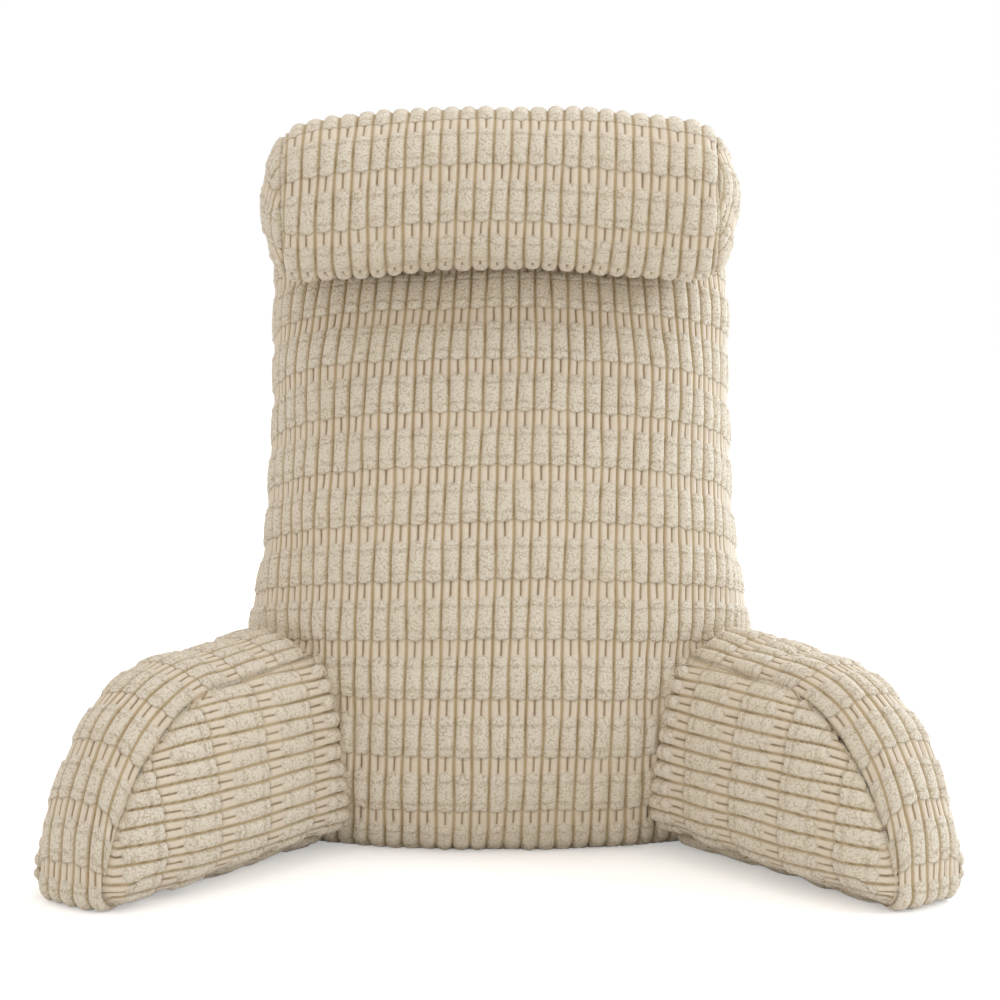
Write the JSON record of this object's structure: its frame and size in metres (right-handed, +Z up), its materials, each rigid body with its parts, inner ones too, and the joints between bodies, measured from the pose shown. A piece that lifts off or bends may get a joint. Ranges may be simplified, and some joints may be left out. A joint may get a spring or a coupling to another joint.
{
  "type": "reading pillow with arms",
  "caption": "Upright bed-rest cushion with a reclined back, splayed side arms and a neck roll, covered in ribbed cream plush.",
  "frame": {"origin": "middle of the footprint box, on the surface the cushion stands on", "axes": "+X across the cushion, -Y towards the arm tips and the sitter's legs, +Z up"},
  "size_m": [0.819, 0.5066, 0.6855],
  "materials": {
    "cover_fabric": "ribbed plush pile, matte"
  },
  "bodies": {
    "root": {"backrest": "cover_fabric", "arm_left": "cover_fabric", "arm_left_inner_panel": "cover_fabric", "arm_left_outer_panel": "cover_fabric", "arm_right": "cover_fabric", "arm_right_inner_panel": "cover_fabric", "arm_right_outer_panel": "cover_fabric", "neck_roll": "cover_fabric", "neck_roll_end_left": "cover_fabric", "neck_roll_end_right": "cover_fabric"}
  },
  "joints": []
}
